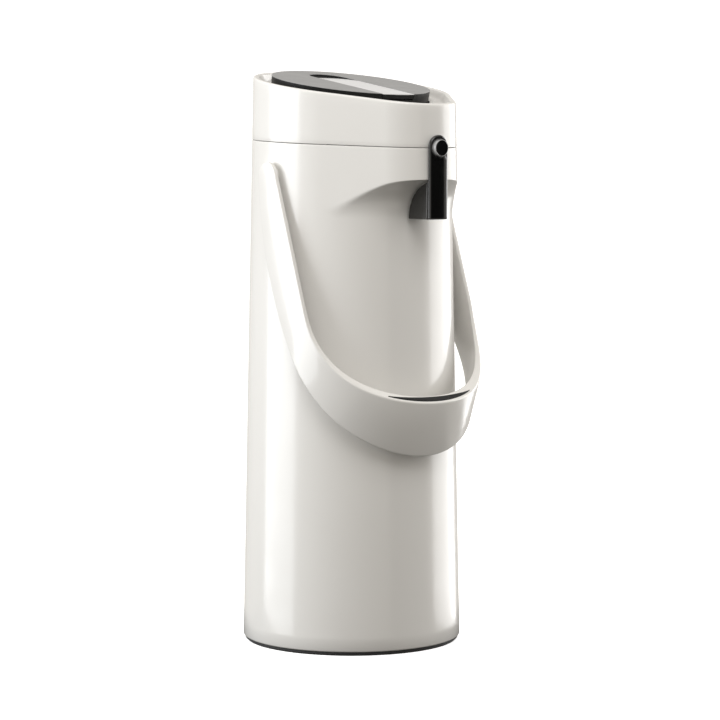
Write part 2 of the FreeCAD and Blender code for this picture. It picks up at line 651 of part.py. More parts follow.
def bow_plan(half_width, front_depth, low, high):
    """A strip that ends in half an ellipse at the front, upright between two levels."""
    centre = FreeCAD.Vector(0, -size("bow_centre"), low)
    curve = Part.makeCylinder(half_width, high - low, centre, Z_AXIS)
    if abs(front_depth - half_width) > 0.01:
        stretch = FreeCAD.Matrix()
        stretch.A22 = front_depth / half_width
        curve.translate(-centre)
        curve = curve.transformGeometry(stretch)
        curve.translate(centre)
    strip = block((-half_width, -size("bow_centre"), low), (half_width, 40, high))
    return curve.fuse(strip).removeSplitter()


outer_half = size("handle_half")
bow = handle_side().common(bow_plan(outer_half, outer_half, -200, 50))
bow = bow.cut(bow_plan(outer_half - size("arm_thickness"), outer_half - size("grip_thickness"), -210, 60))
bore_end = outer_half - size("pin_cover")
bore = rod(size("pivot_pin") + size("running_gap"),
           FreeCAD.Vector(-bore_end, 0, 0), FreeCAD.Vector(bore_end, 0, 0))
PAD_SINK = -108.0
PAD_TOP = -105.8
lens_outer = Part.makeCylinder(outer_half - 1.8, 20, FreeCAD.Vector(0, -size("bow_centre"), PAD_SINK), Z_AXIS)
lens_inner = Part.makeCylinder(150, 40, FreeCAD.Vector(0, -size("bow_centre") + 86, PAD_SINK - 10), Z_AXIS)
lens = lens_outer.cut(lens_inner)
lens = lens.common(block((-60, -200, PAD_SINK), (60, -100, PAD_SINK + 20)))
bow = bow.cut(bore).cut(lens)
feature("handle_bow", max(bow.Solids, key=lambda solid: solid.Volume), handle_place)
pad = lens.common(block((-60, -200, PAD_SINK), (60, 0, PAD_TOP)))
feature("grip_pad", pad, handle_place)

# ---------------------------------------------------------------- checks and files

doc.recompute()
os.makedirs("parts", exist_ok=True)
for thing in doc.Objects:
    if "Invalid" in thing.State or "Error" in thing.State:
        raise RuntimeError("%s failed: %s" % (thing.Label, thing.State))
for thing in subparts:
    shape = thing.Shape
    if shape.isNull() or not shape.isValid() or not shape.Solids:
        raise RuntimeError("%s has no valid solid" % thing.Label)
for thing in subparts:
    print("%-16s solids %d  volume %.0f mm3" % (thing.Label, len(thing.Shape.Solids), thing.Shape.Volume))
    thing.Shape.exportStep("parts/%s.step" % thing.Label)
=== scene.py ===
import json
import math

import bmesh
import bpy
import numpy as np
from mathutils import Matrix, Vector


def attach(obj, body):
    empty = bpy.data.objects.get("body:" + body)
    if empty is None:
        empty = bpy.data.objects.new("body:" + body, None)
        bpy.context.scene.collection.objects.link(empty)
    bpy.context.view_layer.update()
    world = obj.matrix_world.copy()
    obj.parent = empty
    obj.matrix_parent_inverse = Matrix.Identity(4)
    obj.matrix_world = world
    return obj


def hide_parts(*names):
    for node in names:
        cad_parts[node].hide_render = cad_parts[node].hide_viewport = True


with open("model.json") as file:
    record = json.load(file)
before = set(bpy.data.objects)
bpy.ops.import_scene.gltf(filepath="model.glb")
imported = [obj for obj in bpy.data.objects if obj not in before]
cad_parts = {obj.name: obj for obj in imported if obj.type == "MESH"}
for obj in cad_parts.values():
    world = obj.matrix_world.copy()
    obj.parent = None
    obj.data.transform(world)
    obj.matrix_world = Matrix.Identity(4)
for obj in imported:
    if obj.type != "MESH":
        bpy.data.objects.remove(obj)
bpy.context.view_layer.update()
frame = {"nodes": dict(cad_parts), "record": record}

# The airpot stands on the floor with its spout towards -Y.  Lengths below are in millimetres and
# are turned to metres where a mesh is made.
MM = 0.001

# ---------------------------------------------------------------- dimensions, as in the CAD model
BASE_RADIUS = 72.8
TAPER = 0.0203
WALL = 2.4
NOSE_OFFSET = 0.777
NOSE_RATIO = 0.555
NOSE_ANGLE = math.radians(55)
COVE_HEIGHT = 283.5
COVE_RADIUS = 25.0
SEAM_HEIGHT = 332.3
SEAM_SLOPE = 0.044
SEAM_GAP = 0.4
RIM_HEIGHT = 369.86
RIM_SLOPE = 0.153
RIM_ROUND = 1.4
DISH_DEPTH = 6.0
DISH_INSET = 5.0
LID_REACH = 0.6
LID_HEIGHT = 371.8
LID_TILT = math.atan(0.165)
LID_RADIUS = 52.8
PIVOT_REACH = 1.0
PIVOT_HEIGHT = 310.0
HANDLE_TILT = math.radians(19.4)

# ---------------------------------------------------------------- dimensions only the looks need
COLUMNS = 256
NOSE_CROWDING = 0.42
FOOT_HEIGHT = 2.6
COVE_SOFTNESS = 0.9
RIM_TOP_WIDTH = 0.6
RIM_INNER_ROUND = 1.5
DISH_ROUND = 2.5
# a reach further out than any part of the pot
BEYOND = 400.0


# ---------------------------------------------------------------- materials

def new_material(name):
    """A material with nodes, its tree and its shader."""
    material = bpy.data.materials.new(name)
    material.use_nodes = True
    tree = material.node_tree
    return material, tree, tree.nodes["Principled BSDF"]


def noise(tree, scale, detail=3.0, roughness=0.5, stretch=(1, 1, 1)):
    """A noise texture on object coordinates, scaled per metre."""
    coordinates = tree.nodes.new("ShaderNodeTexCoord")
    mapping = tree.nodes.new("ShaderNodeMapping")
    mapping.inputs["Scale"].default_value = stretch
    texture = tree.nodes.new("ShaderNodeTexNoise")
    texture.inputs["Scale"].default_value = scale
    texture.inputs["Detail"].default_value = detail
    texture.inputs["Roughness"].default_value = roughness
    tree.links.new(coordinates.outputs["Object"], mapping.inputs["Vector"])
    tree.links.new(mapping.outputs["Vector"], texture.inputs["Vector"])
    return texture.outputs["Fac"]


def ramp(tree, source, low, high, start=0.3, end=0.7):
    """Maps a noise value to colours between low and high."""
    node = tree.nodes.new("ShaderNodeValToRGB")
    node.color_ramp.elements[0].position = start
    node.color_ramp.elements[0].color = (*low, 1)
    node.color_ramp.elements[1].position = end
    node.color_ramp.elements[1].color = (*high, 1)
    tree.links.new(source, node.inputs["Fac"])
    return node.outputs["Color"]


def spread(tree, source, low, high):
    """Maps a noise value to a number between low and high."""
    node = tree.nodes.new("ShaderNodeMapRange")
    node.inputs["From Min"].default_value = 0.3
    node.inputs["From Max"].default_value = 0.7
    node.inputs["To Min"].default_value = low
    node.inputs["To Max"].default_value = high
    tree.links.new(source, node.inputs["Value"])
    return node.outputs["Result"]


def bump(tree, shader, source, strength, distance):
    """Feeds a value to the shader's normal as a shallow relief."""
    node = tree.nodes.new("ShaderNodeBump")
    node.inputs["Strength"].default_value = strength
    node.inputs["Distance"].default_value = distance
    tree.links.new(source, node.inputs["Height"])
    tree.links.new(node.outputs["Normal"], shader.inputs["Normal"])


def plastic(name, low, high, roughness, coat=0.0, ripple=0.04, grain=60.0, shine=0.5):
    """Moulded plastic: a faint drift of colour and gloss, and the slight waviness of a moulding."""
    material, tree, shader = new_material(name)
    shader.inputs["Specular IOR Level"].default_value = shine
    drift = noise(tree, 9.0, 2.0)
    tree.links.new(ramp(tree, drift, low, high), shader.inputs["Base Color"])
    fine = noise(tree, grain, 4.0)
    tree.links.new(spread(tree, fine, roughness * 0.85, roughness * 1.15), shader.inputs["Roughness"])
    shader.inputs["Coat Weight"].default_value = coat
    shader.inputs["Coat Roughness"].default_value = 0.06
    bump(tree, shader, noise(tree, grain * 2.5, 2.0), ripple, 0.0002)
    return material


def grained(name, low, high, roughness, scale, depth):
    """Matt moulded rubber or textured plastic."""
    material, tree, shader = new_material(name)
    shader.inputs["Specular IOR Level"].default_value = 0.25
    speckle = noise(tree, scale, 5.0, 0.65)
    tree.links.new(ramp(tree, speckle, low, high), shader.inputs["Base Color"])
    tree.links.new(spread(tree, speckle, roughness * 0.9, roughness * 1.1), shader.inputs["Roughness"])
    bump(tree, shader, speckle, 0.5, depth)
    return material


def metal(name, low, high, roughness, stretch):
    """Turned or brushed steel: fine marks drawn out along one direction."""
    material, tree, shader = new_material(name)
    marks = noise(tree, 900.0, 3.0, 0.6, stretch)
    tree.links.new(ramp(tree, marks, low, high), shader.inputs["Base Color"])
    tree.links.new(spread(tree, marks, roughness * 0.7, roughness * 1.3), shader.inputs["Roughness"])
    shader.inputs["Metallic"].default_value = 1.0
    bump(tree, shader, marks, 0.15, 0.00004)
    return material


WHITE = plastic("white_gloss_plastic", (0.745, 0.732, 0.705), (0.765, 0.752, 0.728), 0.22, 0.2)
BLACK = plastic("black_gloss_plastic", (0.004, 0.004, 0.004), (0.007, 0.007, 0.007), 0.12, 0.0, 0.02,
                shine=0.8)
MATT_BLACK = plastic("black_satin_plastic", (0.006, 0.006, 0.006), (0.010, 0.010, 0.010), 0.45, 0.0, 0.02,
                     shine=0.15)
GREY = plastic("grey_lid_plastic", (0.290, 0.290, 0.292), (0.305, 0.305, 0.306), 0.5, 0.0, 0.015,
               shine=0.25)
SILVER = plastic("pale_silver_plastic", (0.64, 0.64, 0.65), (0.68, 0.68, 0.685), 0.45, 0.0, 0.015,
                 shine=0.3)
INNER = plastic("plain_inner_plastic", (0.70, 0.69, 0.66), (0.73, 0.72, 0.69), 0.45)
PAD = grained("grip_pad_rubber", (0.006, 0.006, 0.006), (0.012, 0.012, 0.012), 0.6, 900.0, 0.00008)
RUBBER = grained("foot_rubber", (0.035, 0.035, 0.036), (0.060, 0.060, 0.060), 0.7, 700.0, 0.00012)
# the button's sleeve: its grey is a painted highlight, standing in for light catching the side wall of the
# black button
SLEEVE_HIGHLIGHT = plastic("button_sleeve_painted_highlight", (0.36, 0.36, 0.365), (0.40, 0.40, 0.40), 0.25, 0.2)
STEEL = metal("turned_steel", (0.55, 0.55, 0.56), (0.70, 0.70, 0.71), 0.28, (0.05, 1, 1))
SPUN = metal("spun_steel", (0.60, 0.60, 0.61), (0.72, 0.72, 0.73), 0.22, (0.2, 0.2, 4))

SLOT_MATERIAL = {
    "white_plastic": WHITE,
    "black_plastic": BLACK,
    "lid_grey": GREY,
    "lever_silver": SILVER,
    "foot_rubber": RUBBER,
    "steel": STEEL,
    "flask_steel": SPUN,
    "inner_plastic": INNER,
}


# ---------------------------------------------------------------- mesh helpers

def piece(name, points, faces, body, material, smooth=True, sharp=math.radians(40)):
    """A mesh object from points in millimetres, riding on a body."""
    mesh = bpy.data.meshes.new(name)
    mesh.from_pydata([Vector(point) * MM for point in points], [], faces)
    mesh.validate()
    mesh.update()
    for polygon in mesh.polygons:
        polygon.use_smooth = smooth
    if smooth:
        mesh.set_sharp_from_angle(angle=sharp)
    mesh.materials.append(material)
    thing = bpy.data.objects.new(name, mesh)
    bpy.context.scene.collection.objects.link(thing)
    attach(thing, body)
    return thing


def grid_faces(rows, columns, closed_rows=False):
    """Quads between the points of rows x columns, where each row closes on itself."""
    faces = []
    last = rows if closed_rows else rows - 1
    for row in range(last):
        following = (row + 1) % rows
        for column in range(columns):
            beside = (column + 1) % columns
            faces.append((row * columns + column, row * columns + beside,
                          following * columns + beside, following * columns + column))
    return faces


def capped_faces(rows, columns):
    """The same with a face over each end, which makes the skin closed."""
    faces = grid_faces(rows, columns)
    faces.append(tuple(reversed(range(columns))))
    faces.append(tuple(range((rows - 1) * columns, rows * columns)))
    return faces


def joined(rows):
    """All points of a list of rows, in one list."""
    return [point for row in rows for point in row]


def bevel(thing, width, segments=3, angle=35):
    """Rounds a piece's edges by width in millimetres."""
    modifier = thing.modifiers.new("rounded_edges", "BEVEL")
    modifier.width = width * MM
    modifier.segments = segments
    modifier.limit_method = "ANGLE"
    modifier.angle_limit = math.radians(angle)
    modifier.harden_normals = False


# ---------------------------------------------------------------- the beaked body's surface

def radius_at(height):
    """Radius of the tapering round body."""
    return BASE_RADIUS - TAPER * height


def beak_reach(angle, height, inset=0.0):
    """Distance from the axis to the beaked plan; angle 0 is the spout's side."""
    back = radius_at(height)
    centre = NOSE_OFFSET * back
    nose = NOSE_RATIO * back - inset
    back = back - inset
    turn = np.abs((angle + math.pi) % (2 * math.pi) - math.pi)
    flat = back / np.maximum(np.cos(turn - NOSE_ANGLE), 0.2)
    inside = np.maximum(nose ** 2 - (centre * np.sin(turn)) ** 2, 0.0)
    front = centre * np.cos(turn) + np.sqrt(inside)
    nose_end = np.arctan2(nose * math.sin(NOSE_ANGLE), centre + nose * math.cos(NOSE_ANGLE))
    return np.where(turn <= nose_end, front, np.where(turn <= NOSE_ANGLE, flat, back))


def soft_least(first, second, width):
    """The smaller of two values, with the corner between them rounded."""
    blend = np.clip(0.5 + 0.5 * (second - first) / width, 0.0, 1.0)
    return second + (first - second) * blend - width * blend * (1.0 - blend)


def pot_reach(angle, height, inset=0.0):
    """Distance from the axis to the pot: round below the cove, beaked above it."""
    round_part = radius_at(height) - inset
    rise = np.clip(height - COVE_HEIGHT, 0.0, None)
    radius = COVE_RADIUS + inset
    centre = radius_at(COVE_HEIGHT) + COVE_RADIUS
    cove = centre - np.sqrt(np.maximum(radius ** 2 - np.minimum(rise, radius) ** 2, 0.0))
    cove = np.where(rise >= radius, BEYOND, cove)
    beaked = beak_reach(angle, height, inset)
    upper = soft_least(beaked, np.maximum(cove, round_part), COVE_SOFTNESS)
    return np.where(rise <= 0.0, round_part, np.maximum(upper, round_part))


ANGLES = np.linspace(0, 2 * math.pi, COLUMNS, endpoint=False)
# columns crowd together round the nose, where the plan turns quickly
ANGLES = ANGLES - NOSE_CROWDING * np.sin(ANGLES)


def ring_points(reach, height):
    """Points round the axis at these reaches and heights."""
    heights = np.broadcast_to(height, ANGLES.shape)
    return list(zip(reach * np.sin(ANGLES), -reach * np.cos(ANGLES), heights))


def level_on(plane_height, slope, reach):
    """Height of a plane that rises towards the back, under points at these reaches."""
    return plane_height + slope * (-reach * np.cos(ANGLES))


def level_ring(reach_at, plane_height, slope):
    """Where a wall of given reach meets a sloping plane."""
    height = np.full(ANGLES.shape, plane_height)
    for _ in range(4):
        reach = reach_at(height)
        height = level_on(plane_height, slope, reach)
    return reach_at(height), height


def build_shell():
    """The pot's outer shell, one closed skin from the foot up to the seam and down inside."""
    rows = []
    for lift, out in ((0.0, -0.9), (0.25, -0.35), (0.9, 0.0)):
        level = np.full(ANGLES.shape, FOOT_HEIGHT + lift)
        rows.append(ring_points(pot_reach(ANGLES, level) + out, level))
    body = list(np.linspace(12, COVE_HEIGHT, 24))
    cove = [COVE_HEIGHT + COVE_RADIUS * math.sin(turn) for turn in np.linspace(0, math.pi / 2, 44)[1:]]
    for height in body + cove:
        level = np.full(ANGLES.shape, height)
        rows.append(ring_points(pot_reach(ANGLES, level), level))
    start = COVE_HEIGHT + COVE_RADIUS
    seam = SEAM_HEIGHT - SEAM_GAP / 2
    _, top_height = level_ring(lambda z: pot_reach(ANGLES, z), seam, SEAM_SLOPE)
    for step in (0.06, 0.14, 0.25, 0.4, 0.55, 0.7, 0.85, 0.95):
        height = start + (top_height - 0.2 - start) * step
        rows.append(ring_points(pot_reach(ANGLES, height), height))
    for drop, inset in ((0.2, 0.0), (0.06, 0.06), (0.0, 0.2), (0.0, WALL)):
        height = top_height - drop
        rows.append(ring_points(pot_reach(ANGLES, height) - inset, height))
    # the inside follows the outside a wall's thickness away, over the cove too
    inner_cove = COVE_RADIUS + WALL
    inside = [COVE_HEIGHT + inner_cove + 0.3]
    inside += [COVE_HEIGHT + inner_cove * math.sin(turn) for turn in np.linspace(math.pi / 2, 0, 20)[1:]]
    for height in inside + [150.0, FOOT_HEIGHT]:
        level = np.full(ANGLES.shape, height)
        rows.append(ring_points(pot_reach(ANGLES, level, WALL), level))
    shell = piece("outer_shell_skin", joined(rows), grid_faces(len(rows), COLUMNS, True),
                  "pot", WHITE, sharp=math.radians(50))
    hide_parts("outer_shell")


def build_head():
    """The head: outer wall, rounded rim, a shallow dish inside the rim and the round hole for the lid."""
    rows = []
    seam = SEAM_HEIGHT + SEAM_GAP / 2
    foot_reach, foot_height = level_ring(lambda z: beak_reach(ANGLES, z), seam, SEAM_SLOPE)
    rim_reach, rim_height = level_ring(lambda z: beak_reach(ANGLES, z), RIM_HEIGHT, RIM_SLOPE)
    rows.append(ring_points(foot_reach - WALL, foot_height))
    for lift, inset in ((0.0, 0.2), (0.06, 0.06), (0.2, 0.0)):
        rows.append(ring_points(foot_reach - inset, foot_height + lift))
    for step in np.linspace(0.1, 1.0, 8):
        height = foot_height + 0.2 + (rim_height - RIM_ROUND - foot_height - 0.2) * step
        rows.append(ring_points(beak_reach(ANGLES, height), height))
    for turn in np.linspace(0, math.pi / 2, 8)[1:]:
        reach = beak_reach(ANGLES, rim_height, RIM_ROUND * (1 - math.cos(turn)))
        height = level_on(RIM_HEIGHT, RIM_SLOPE, reach)
        rows.append(ring_points(reach, height - RIM_ROUND * (1 - math.sin(turn))))
    # the inner edge of the rim rolls over into the dish
    for turn in np.linspace(0, math.pi / 2, 6)[1:]:
        inset = RIM_ROUND + RIM_TOP_WIDTH + RIM_INNER_ROUND * math.sin(turn)
        reach = beak_reach(ANGLES, rim_height, inset)
        height = level_on(RIM_HEIGHT, RIM_SLOPE, reach)
        rows.append(ring_points(reach, height - RIM_INNER_ROUND * (1 - math.cos(turn))))
    for turn in np.linspace(0, math.pi / 2, 6)[1:]:
        inset = DISH_INSET + DISH_ROUND * (1 - math.cos(turn))
        reach = beak_reach(ANGLES, rim_height, inset)
        height = level_on(RIM_HEIGHT - DISH_DEPTH, RIM_SLOPE, reach)
        rows.append(ring_points(reach, height + DISH_ROUND * (1 - math.sin(turn))))
    # the hole's edge, a circle about the lid's own centre
    hole = LID_RADIUS - 0.3
    across = np.sin(ANGLES)
    forward = np.cos(ANGLES)
    edge = -LID_REACH * forward + np.sqrt(hole ** 2 - (LID_REACH * across) ** 2)
    floor = level_on(RIM_HEIGHT - DISH_DEPTH, RIM_SLOPE, edge)
    rows.append(ring_points(edge, floor))
    rows.append(ring_points(edge - 0.4, floor - 0.4))
    rows.append(ring_points(edge - 0.4, floor - WALL))
    under = level_on(RIM_HEIGHT - DISH_DEPTH - WALL, RIM_SLOPE, rim_reach - WALL)
    rows.append(ring_points(rim_reach - WALL, under))
    head = piece("head_shell_skin", joined(rows), grid_faces(len(rows), COLUMNS, True),
                 "head", WHITE, sharp=math.radians(50))
    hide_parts("head_shell")


# ---------------------------------------------------------------- pieces cut from flat outlines

def arc_points(centre, radius, start, end, count):
    """Points on a circle's arc, angles in degrees, both ends included."""
    turns = np.radians(np.linspace(start, end, count))
    return [(centre[0] + radius * math.cos(turn), centre[1] + radius * math.sin(turn)) for turn in turns]


def prism(name, outline, place, low, high, body, material, rounding=0.0):
    """A plate or bar: an outline raised between two levels, with its edges rounded where asked."""
    count = len(outline)
    points = [place(across, along, level) for level in (low, high) for across, along in outline]
    faces = [tuple(reversed(range(count))), tuple(range(count, 2 * count))]
    for index in range(count):
        following = (index + 1) % count
        faces.append((index, following, count + following, count + index))
    thing = piece(name, points, faces, body, material)
    if rounding:
        bevel(thing, rounding)
    return thing


# ---------------------------------------------------------------- spout bar, nozzle and button

SPOUT_HALF = 7.6
SPOUT_LOW = 282.8
SPOUT_HIGH = 336.7
SPOUT_FRONT = 91.5
SPOUT_BACK = 88.62
BAR_CROWN = 36.0
BUTTON_HOLE = 5.7
NOZZLE_FRONT = 88.4
NOZZLE_BACK = 69.0
NOZZLE_ROUND = 24.3
BUTTON_HEIGHT = 328.4
BUTTON_RADIUS = 5.4
BUTTON_FRONT = 93.8


def seen_from_side(reach, up, across):
    """A point of an outline drawn from the side: how far out towards the front, and how high."""
    return across, -reach, up


def bar_edge(turn):
    """The point of the bar's edge in one direction from the button's centre; below, it is squared off."""
    across, up = math.cos(turn), math.sin(turn)
    lift = BUTTON_HEIGHT - (SPOUT_HIGH - SPOUT_HALF)
    reach = SPOUT_HALF / max(abs(across), abs(up) if up < 0 else 0.0, 0.01)
    if lift + reach * up > 0:
        reach = -up * lift + math.sqrt((up * lift) ** 2 - lift ** 2 + SPOUT_HALF ** 2)
    return reach * across, BUTTON_HEIGHT + reach * up


def bar_face(across):
    """How far out the bar's crowned face lies."""
    return SPOUT_FRONT - BAR_CROWN + math.sqrt(BAR_CROWN ** 2 - across ** 2)


def build_bar():
    """The bar on the nose: a crowned face, a round top and a hole for the button."""
    count = 96
    turns = [2 * math.pi * step / count for step in range(count)]
    inner = [(BUTTON_HOLE * math.cos(turn), BUTTON_HEIGHT + BUTTON_HOLE * math.sin(turn)) for turn in turns]
    outer = [bar_edge(turn) for turn in turns]
    # the two lower corners of the squared edge, from which straight sides run down to the foot
    first, last = count * 5 // 8, count * 7 // 8
    foot = [(outer[index][0], SPOUT_LOW) for index in range(first, last + 1)]
    flat = inner + outer + foot
    points = [(across, -bar_face(across), up) for across, up in flat]
    points += [(across, -SPOUT_BACK, up) for across, up in flat]
    back = len(flat)
    loops = []
    for index in range(count):
        following = (index + 1) % count
        loops.append((index, following, count + following, count + index))
    for step in range(last - first):
        upper = count + first + step
        lower = 2 * count + step
        loops.append((upper, upper + 1, lower + 1, lower))
    faces = loops + [tuple(back + corner for corner in reversed(loop)) for loop in loops]
    border = [count + index % count for index in range(last, first + count + 1)]
    border += list(range(2 * count, 2 * count + len(foot)))
    for edge in (list(range(count)), border):
        for start, end in zip(edge, edge[1:] + edge[:1]):
            faces.append((start, end, back + end, back + start))
    bar = piece("spout_bar", points, faces, "pot", BLACK)
    shape = bmesh.new()
    shape.from_mesh(bar.data)
    bmesh.ops.recalc_face_normals(shape, faces=shape.faces)
    shape.to_mesh(bar.data)
    shape.free()
    bar.data.set_sharp_from_angle(angle=math.radians(40))
    bevel(bar, 0.9)
    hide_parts("spout_cover")


def build_housing():
    """The nozzle's housing behind the bar, with the cove's curve on its back."""
    centre = (NOZZLE_BACK + NOZZLE_ROUND, SPOUT_LOW)
    front = math.degrees(math.acos((centre[0] - NOZZLE_FRONT) / NOZZLE_ROUND))
    housing_outline = [(NOZZLE_FRONT, SPOUT_LOW)]
    housing_outline += arc_points(centre, NOZZLE_ROUND, 180 - front, 180, 25)
    housing = prism("nozzle_housing", housing_outline, seen_from_side, -SPOUT_HALF, SPOUT_HALF,
                    "pot", BLACK, 0.7)
    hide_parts("spout_nozzle")


def turned_about_button(profile, count):
    """Points of a shape turned about the button's axis, from (radius, distance out) pairs."""
    points = []
    for radius, out in profile:
        for turn in np.linspace(0, 2 * math.pi, count, endpoint=False):
            points.append((radius * math.cos(turn), -out, BUTTON_HEIGHT + radius * math.sin(turn)))
    return points


def build_button():
    """A round button: its stem and flat black face, and the sleeve round it, whose grey is a painted
    highlight of light catching the button's side.
    """
    face = BUTTON_FRONT - 0.08
    knob_profile = [(2.5, 82.2), (2.5, 90.0), (4.6, 90.0), (4.98, 90.3), (4.98, BUTTON_FRONT - 0.15),
                    (4.9, face), (2.4, face), (0.6, face)]
    count = 72
    knob = piece("round_button", turned_about_button(knob_profile, count),
                 capped_faces(len(knob_profile), count), "button", BLACK,
                 sharp=math.radians(35))
    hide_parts("release_button")
    sleeve = [(5.35, 90.0), (BUTTON_RADIUS, 90.2), (BUTTON_RADIUS, BUTTON_FRONT - 0.5),
              (5.28, BUTTON_FRONT - 0.15), (5.1, BUTTON_FRONT - 0.05), (5.0, BUTTON_FRONT - 0.1),
              (5.0, BUTTON_FRONT - 0.4), (5.0, 90.0)]
    # the sleeve's grey is a painted highlight on the button's side
    piece("button_sleeve", turned_about_button(sleeve, count), grid_faces(len(sleeve), count, True),
          "button", SLEEVE_HIGHLIGHT)


# ---------------------------------------------------------------- lid

SLOT_HALF = 13.4
SLOT_REAR = 24.0
LEVER_HALF = 13.0
LEVER_SINK = 0.2
LEVER_PLATE = 3.2
LEVER_PIVOT = 44.5
LEVER_PIVOT_DEPTH = 5.4
LEVER_CLEARANCE = 0.7
LUG_RADIUS = 3.2
LUG_HALF = 9.0
SCOOP_START = 8.0
SCOOP_DEPTH = 2.3
RING_INNER = 49.6
RING_OUTER = 52.5
RING_DEPTH = 14.0
LID_PLATE = 1.6
TOP_SKIN = 0.35


def on_lid(across, back, up):
    """A point of the tilted lid, measured from the centre of its top."""
    along = LID_REACH + back * math.cos(LID_TILT) - up * math.sin(LID_TILT)
    height = LID_HEIGHT + back * math.sin(LID_TILT) + up * math.cos(LID_TILT)
    return across, along, height


def slotted_disc(radius, half, rear):
    """A disc's outline with a slot cut in from the front, round at its rear end."""
    corner = math.degrees(math.asin(half / radius))
    outline = arc_points((0, 0), radius, -90 + corner, 270 - corner, 121)
    outline += arc_points((0, rear), half, 180, 0, 25)
    return outline


def build_lid_plate():
    """The thin grey top of the lid, the black plate under it and the black ring below that."""
    top = prism("lid_top_plate", slotted_disc(LID_RADIUS, SLOT_HALF, SLOT_REAR), on_lid, -TOP_SKIN, 0.0,
                "head", GREY, 0.12)
    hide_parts("lid_disc")
    prism("lid_under_plate", slotted_disc(LID_RADIUS - 0.15, SLOT_HALF, SLOT_REAR), on_lid, -LID_PLATE,
          -TOP_SKIN, "head", MATT_BLACK)
    profile = [(RING_INNER, -LID_PLATE), (LID_RADIUS - 0.15, -LID_PLATE), (LID_RADIUS - 0.2, -4.6),
               (RING_OUTER, -5.2), (RING_OUTER - 0.2, -RING_DEPTH), (RING_INNER, -RING_DEPTH)]
    # the wall drops below the lever where the slot is open at the front
    under_lever = -LEVER_SINK - LEVER_PLATE - LEVER_CLEARANCE
    count = 288
    turns = np.linspace(0, 2 * math.pi, count, endpoint=False)
    points = []
    for radius, level in profile:
        for turn in turns:
            across, back = radius * math.cos(turn), radius * math.sin(turn)
            inside_slot = back < 0 and abs(across) < SLOT_HALF
            points.append(on_lid(across, back, min(level, under_lever) if inside_slot else level))
    side = piece("lid_side_wall", points, grid_faces(len(profile), count, True), "head",
                 MATT_BLACK)
    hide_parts("lid_ring")


def lever_level(back):
    """Level of the lever's top: just under the lid's, dipping towards the rear for the thumb."""
    share = max(back - SCOOP_START, 0.0) / (SLOT_REAR + LEVER_HALF - SCOOP_START)
    return -LEVER_SINK - SCOOP_DEPTH * share ** 1.3


def lever_layer(name, half, radius, top, low, material, rounding):
    """One layer of the lever: strips across it from the round rear end to the lid's edge."""
    rear_end = SLOT_REAR + half
    backs = [rear_end - half * (1 - math.cos(turn)) for turn in np.linspace(0.02, math.pi / 2, 20)]
    corner = -math.sqrt(radius ** 2 - half ** 2)
    backs += list(np.linspace(SLOT_REAR, corner, 40)[1:])
    columns = np.linspace(-1.0, 1.0, 17)
    points = []
    for back in backs:
        width = math.sqrt(max(half ** 2 - max(back - SLOT_REAR, 0.0) ** 2, 0.0))
        level = lever_level(back)
        points += [on_lid(width * share, back, level + top) for share in columns]
        points += [on_lid(width * share, back, max(level + low, -LEVER_SINK - LEVER_PLATE))
                   for share in reversed(columns)]
    # the front end follows the lid's round edge
    edge = [(half * share, -math.sqrt(radius ** 2 - (half * share) ** 2)) for share in columns]
    points += [on_lid(across, back, -LEVER_SINK + top) for across, back in edge]
    points += [on_lid(across, back, -LEVER_SINK + max(low, -LEVER_PLATE)) for across, back in reversed(edge)]
    count = 2 * len(columns)
    layer = piece(name, points, capped_faces(len(points) // count, count), "pump", material)
    bevel(layer, rounding)
    return layer


def build_lever():
    """The pale lever panel on a black body, with the lug that carries it on the pin."""
    panel = lever_layer("lever_panel", LEVER_HALF, LID_RADIUS, 0.0, -TOP_SKIN, SILVER, 0.12)
    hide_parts("pump_lever")
    lever_layer("lever_body", LEVER_HALF - 0.05, LID_RADIUS - 0.15, -TOP_SKIN, -LEVER_PLATE,
                MATT_BLACK, 0.1)
    lug = arc_points((-LEVER_PIVOT, -LEVER_PIVOT_DEPTH), LUG_RADIUS, 145, 395, 19)
    lug += [(-LEVER_PIVOT + 2.6, -LEVER_PLATE), (-LEVER_PIVOT - 2.6, -LEVER_PLATE)]
    prism("lever_lug", lug, lambda back, up, across: on_lid(across, back, up), -LUG_HALF, LUG_HALF,
          "pump", MATT_BLACK, 0.3)


# ---------------------------------------------------------------- carrying handle

BOW_CENTRE = 62.3
HANDLE_HALF = 71.0
ARM_THICKNESS = 2.8
GRIP_THICKNESS = 8.6
HANDLE_EDGE = 1.2
ARM_ARC = [(-9.3, 0.0), (-2.4, 9.0), (8.1, 4.6)]
TOP_BEND = [(66.5, -68.4), (92.5, -92.9), (134.0, -106.7)]
LOW_LINE = [(-9.3, 0.0), (-1.9, -17.1), (17.5, -51.4), (48.8, -87.8), (93.8, -122.9), (134.0, -145.3)]


def circle_through(points):
    """Centre and radius of the circle through three points."""
    (x1, y1), (x2, y2), (x3, y3) = points
    matrix = np.array([[x2 - x1, y2 - y1], [x3 - x1, y3 - y1]])
    halves = np.array([x2 * x2 - x1 * x1 + y2 * y2 - y1 * y1, x3 * x3 - x1 * x1 + y3 * y3 - y1 * y1]) / 2
    centre = np.linalg.solve(matrix, halves)
    return centre, math.hypot(x1 - centre[0], y1 - centre[1])


def smooth_line(points, steps=12):
    """Points along a smooth curve through the given ones."""
    knots = [Vector(point) for point in points]
    knots = [knots[0] * 2 - knots[1]] + knots + [knots[-1] * 2 - knots[-2]]
    line = []
    for before, start, end, after in zip(knots, knots[1:], knots[2:], knots[3:]):
        lengths = [(start - before).length, (end - start).length, (after - end).length]
        leave = (end - before) * (lengths[1] / (lengths[0] + lengths[1]))
        arrive = (after - start) * (lengths[1] / (lengths[1] + lengths[2]))
        for share in np.linspace(0, 1, steps, endpoint=False):
            square, cube = share ** 2, share ** 3
            line.append(start * (2 * cube - 3 * square + 1) + leave * (cube - 2 * square + share)
                        + end * (3 * square - 2 * cube) + arrive * (cube - square))
    line.append(knots[-2])
    return line


